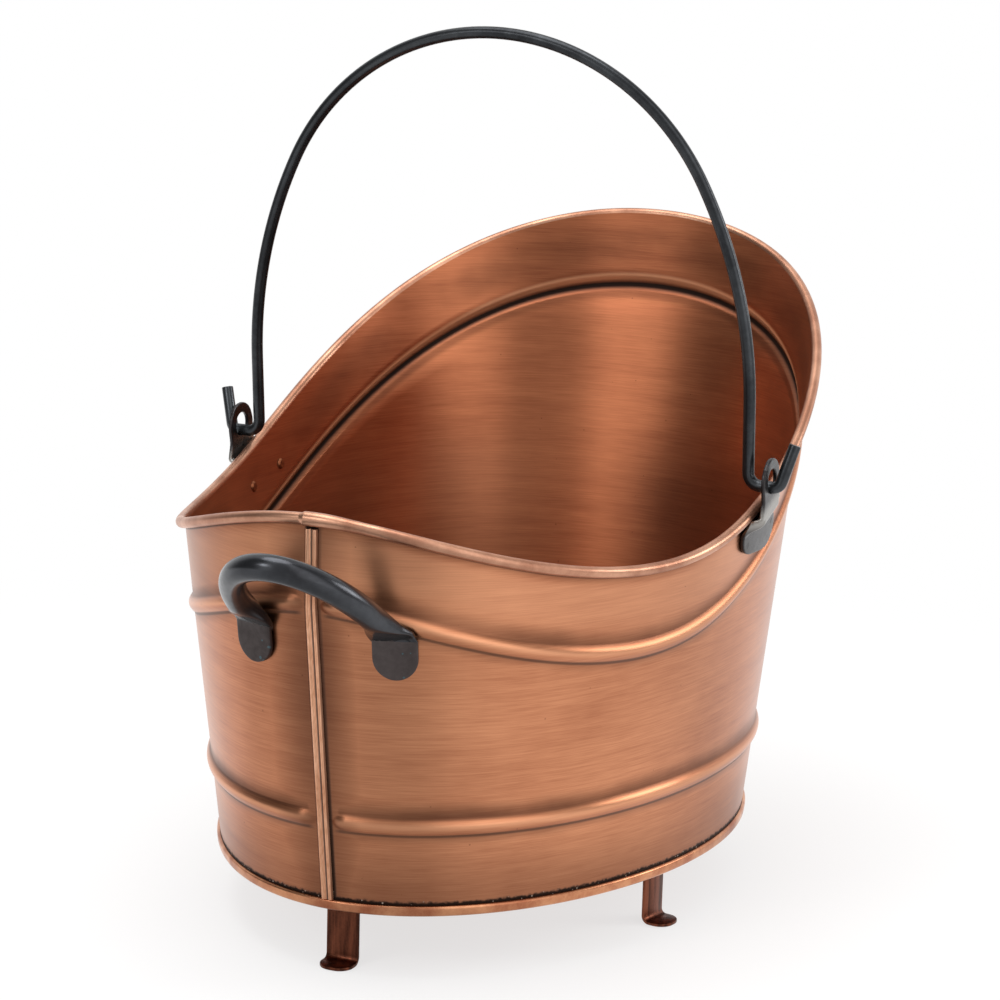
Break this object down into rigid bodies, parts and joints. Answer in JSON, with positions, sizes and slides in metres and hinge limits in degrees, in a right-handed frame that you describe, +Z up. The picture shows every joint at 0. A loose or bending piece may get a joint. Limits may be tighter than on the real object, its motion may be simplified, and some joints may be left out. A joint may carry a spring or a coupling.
{
  "type": "log bucket",
  "caption": "Oval sheet-metal log bucket with a high pouring lip, wired rim, strap feet, a riveted tube handle at the low end and a rod bail swinging in riveted ears.",
  "frame": {"origin": "centre of the object's box, on the floor under the feet", "axes": "+Z up; +Y towards the high pouring lip, so the seam and the tube handle are at -Y; +X to the right seen from the seam"},
  "size_m": [0.4018, 0.5744, 0.5414],
  "materials": {
    "copper_sheet": "brushed, aged copper",
    "base_sheet": "aged copper",
    "rim_wire": "drawn wire",
    "foot_strap": "dark patina",
    "rivets": "dark patina",
    "dark_tube": "satin gunmetal",
    "dark_rivets": "satin gunmetal",
    "ears": "satin gunmetal",
    "dark_rod": "satin gunmetal"
  },
  "bodies": {
    "bucket": {"body_wall": "copper_sheet", "rim_curl": "copper_sheet", "rim_wire": "rim_wire", "seam_strip": "copper_sheet", "base_pan": "base_sheet", "base_hem": "base_sheet", "foot_rear": "foot_strap", "foot_front": "foot_strap", "foot_right": "foot_strap", "foot_left": "foot_strap", "foot_rivets": "rivets", "rear_handle": "dark_tube", "handle_rivets": "dark_rivets", "ear_right": "ears", "ear_left": "ears", "ear_rivets": "dark_rivets"},
    "swinging_bail": {"bail": "dark_rod"}
  },
  "joints": [
    {"name": "bail_swing", "type": "hinge", "parent": "bucket", "child": "swinging_bail", "pos_m": [0, 0.02652, 0.27152], "axis": [1, 0, 0], "range_deg": [-72.5, 91.5]}
  ]
}
